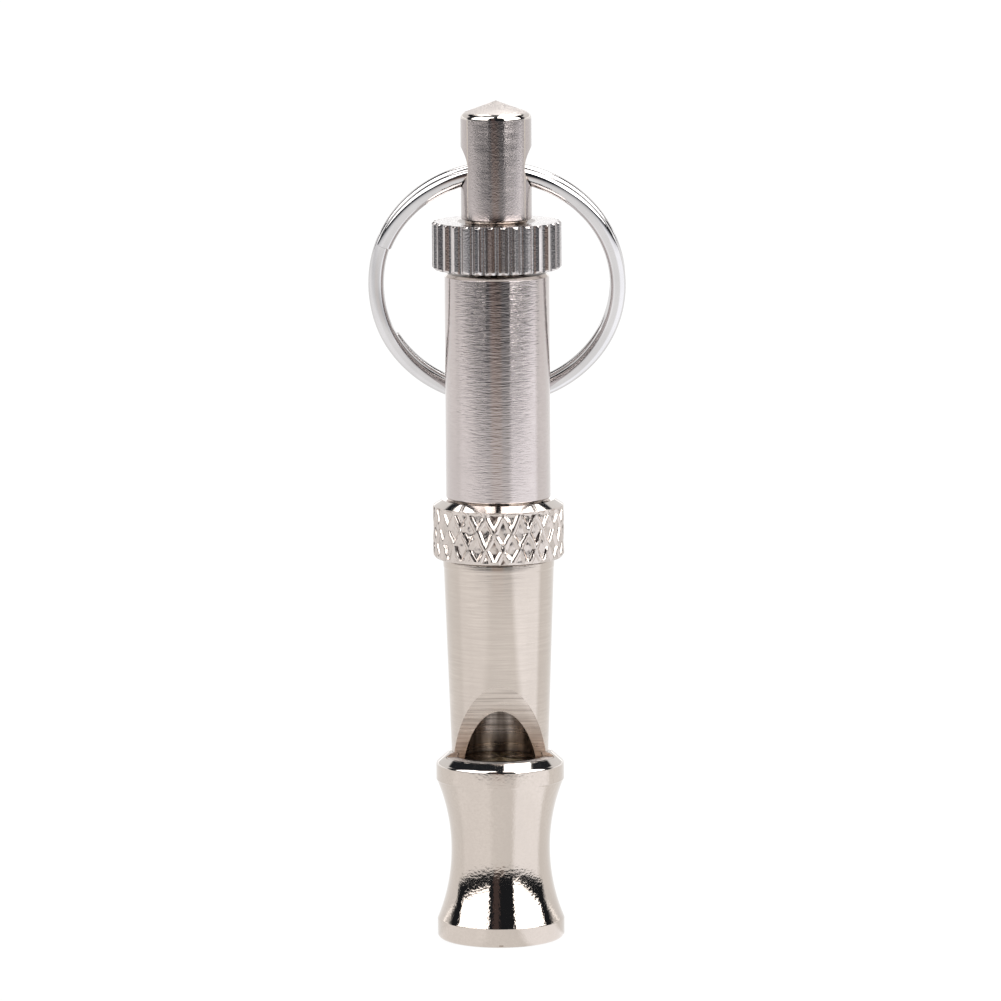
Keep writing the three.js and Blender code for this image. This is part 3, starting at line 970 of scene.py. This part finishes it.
class Sky:
    """The studio round the object, as light from each direction."""

    def __init__(self):
        world = bpy.data.worlds.new("studio")
        bpy.context.scene.world = world
        world.use_nodes = True
        self.tree = world.node_tree
        self.background = self.tree.nodes["Background"]
        coordinates = self.tree.nodes.new("ShaderNodeTexCoord").outputs["Generated"]
        self.direction = separated(self.tree, coordinates)
        self.light = None

    def maths(self, operation, first, second=0.0):
        return maths(self.tree, operation, first, second)

    def elevation(self):
        """Degrees above the horizon."""
        return self.maths("MULTIPLY", self.maths("ARCSINE", self.direction["Z"]), 180 / math.pi)

    def azimuth(self):
        return azimuth_of(self.tree, self.direction)

    def rising(self, value, start, end):
        """0 up to the start and 1 from the end."""
        node = self.tree.nodes.new("ShaderNodeMapRange")
        node.interpolation_type = "SMOOTHSTEP"
        node.inputs["From Min"].default_value = start
        node.inputs["From Max"].default_value = end
        self.tree.links.new(value, node.inputs["Value"])
        return node.outputs["Result"]

    def between(self, value, low, high, soft):
        """1 between two values, fading to 0 over a soft edge outside them."""
        above = self.rising(value, low - soft, low)
        below = self.maths("SUBTRACT", 1.0, self.rising(value, high, high + soft))
        return self.maths("MULTIPLY", above, below)

    def patch(self, first, second, colour):
        """Light of a colour where both masks are 1."""
        self.add(self.maths("MULTIPLY", first, second), colour)

    def add(self, mask, colour):
        """Adds light of a colour where the mask is 1."""
        node = self.tree.nodes.new("ShaderNodeVectorMath")
        node.operation = "SCALE"
        node.inputs[0].default_value = colour
        self.tree.links.new(mask, node.inputs["Scale"])
        if self.light:
            total = self.tree.nodes.new("ShaderNodeVectorMath")
            total.operation = "ADD"
            self.tree.links.new(self.light, total.inputs[0])
            self.tree.links.new(node.outputs["Vector"], total.inputs[1])
            self.light = total.outputs["Vector"]
        else:
            self.light = node.outputs["Vector"]

    def finish(self):
        """The light reaches the object, and the background itself is seen plain white."""
        seen = self.tree.nodes.new("ShaderNodeLightPath").outputs["Is Camera Ray"]
        mix = self.tree.nodes.new("ShaderNodeMix")
        mix.data_type = "RGBA"
        colour_socket(mix.inputs, "B").default_value = (1, 1, 1, 1)
        self.tree.links.new(seen, mix.inputs["Factor"])
        self.tree.links.new(self.light, colour_socket(mix.inputs, "A"))
        self.tree.links.new(colour_socket(mix.outputs, "Result"), self.background.inputs["Color"])


# How bright each part of the room is
ROOM = (0.018, 0.02, 0.024)
LEFT_BOX = (3.0, 2.97, 2.95)
RIGHT_BOX = (4.4, 4.38, 4.36)
BROWN_STRIP = (0.07, 0.045, 0.038)
WHITE_WALL = (1.0, 1.0, 1.0)
GREY_WALL = (0.85, 0.84, 0.83)
LEFT_OVERHEAD = (3.6, 3.5, 3.4)
RIGHT_OVERHEAD = (4.0, 3.9, 3.8)


def softboxes(sky):
    """A tilted softbox on each side and a faint brown strip between them. Ranges are in degrees."""
    azimuth = sky.azimuth()
    elevation = sky.elevation()
    left_tilt = sky.maths("MULTIPLY", sky.maths("ADD", azimuth, 27), 0.03)
    right_tilt = sky.maths("MULTIPLY", sky.maths("ADD", azimuth, -30), 0.15)
    left_height = sky.maths("ADD", elevation, left_tilt)
    right_height = sky.maths("SUBTRACT", elevation, right_tilt)
    sky.patch(sky.between(azimuth, -86, -27, 3), sky.between(left_height, 9, 60, 2), LEFT_BOX)
    sky.patch(sky.between(azimuth, 30, 88, 3), sky.between(right_height, 4.5, 50, 2), RIGHT_BOX)
    sky.patch(sky.between(azimuth, -15, -5, 3), sky.between(elevation, -6, 35, 8), BROWN_STRIP)


def back_walls(sky):
    """White low down behind the object, and a grey wall that rises from there to overhead."""
    round_back = sky.maths("ABSOLUTE", sky.azimuth())
    elevation = sky.elevation()
    sky.patch(sky.rising(round_back, 100, 110), sky.between(elevation, -91, 8, 2), WHITE_WALL)
    aside = sky.maths("ABSOLUTE", sky.direction["X"])
    behind = sky.maths("SUBTRACT", sky.direction["Y"], sky.maths("MULTIPLY", aside, 0.8))
    low_wall = sky.maths("MULTIPLY", sky.rising(round_back, 105, 118), sky.between(elevation, 8, 33, 3))
    wall = sky.maths("MAXIMUM", sky.rising(behind, 0.45, 0.5), low_wall)
    sky.patch(wall, sky.between(elevation, 8, 91, 2), GREY_WALL)


def overhead_boxes(sky):
    """Softboxes overhead, left and right of the middle, placed by their direction's X and Y."""
    overhead = sky.rising(sky.direction["Z"], 0.48, 0.52)
    along = sky.maths("ABSOLUTE", sky.direction["Y"])
    to_left = sky.maths("MULTIPLY", overhead, sky.between(sky.direction["X"], -0.36, -0.11, 0.03))
    to_right = sky.maths("MULTIPLY", overhead, sky.between(sky.direction["X"], 0.09, 0.46, 0.03))
    sky.patch(to_left, sky.between(along, 0.28, 0.6, 0.03), LEFT_OVERHEAD)
    sky.patch(to_right, sky.between(along, -0.1, 0.62, 0.03), RIGHT_OVERHEAD)


def studio_light():
    """A dark room in front, softboxes left, right and overhead, and pale walls behind."""
    sky = Sky()
    sky.add(sky.between(sky.elevation(), -91, 91, 1), ROOM)
    softboxes(sky)
    back_walls(sky)
    overhead_boxes(sky)
    sky.finish()


CAMERA_LENS = 278.5
CAMERA_DISTANCE = 0.7332  # from its target, both in metres
CAMERA_ELEVATION = math.radians(8.24)
CAMERA_TARGET = Vector((0.0002, 0, 0.042))
CAMERA_ROLL = math.radians(0.38)


def camera():
    """The camera, a little above level in front of the window."""
    data = bpy.data.cameras.new("camera")
    data.lens = CAMERA_LENS
    data.sensor_width = 36
    data.clip_start = 0.01
    data.clip_end = 100
    back = Vector((0, -math.cos(CAMERA_ELEVATION), math.sin(CAMERA_ELEVATION)))
    holder = bpy.data.objects.new("camera", data)
    turn = (-back).to_track_quat("-Z", "Y").to_matrix().to_4x4() @ Matrix.Rotation(-CAMERA_ROLL, 4, "Z")
    holder.matrix_world = Matrix.Translation(CAMERA_TARGET + back * CAMERA_DISTANCE) @ turn
    bpy.context.scene.collection.objects.link(holder)
    bpy.context.scene.camera = holder


bpy.context.scene.view_settings.view_transform = "Standard"

mouthpiece()
windway_plug()
whistle_tube()
knurled_collar()
upper_barrel()
lock_nut()
tuning_screw()
plunger()
plunger_seal()
plunger_screw()
split_ring()
studio_floor()
studio_light()
camera()
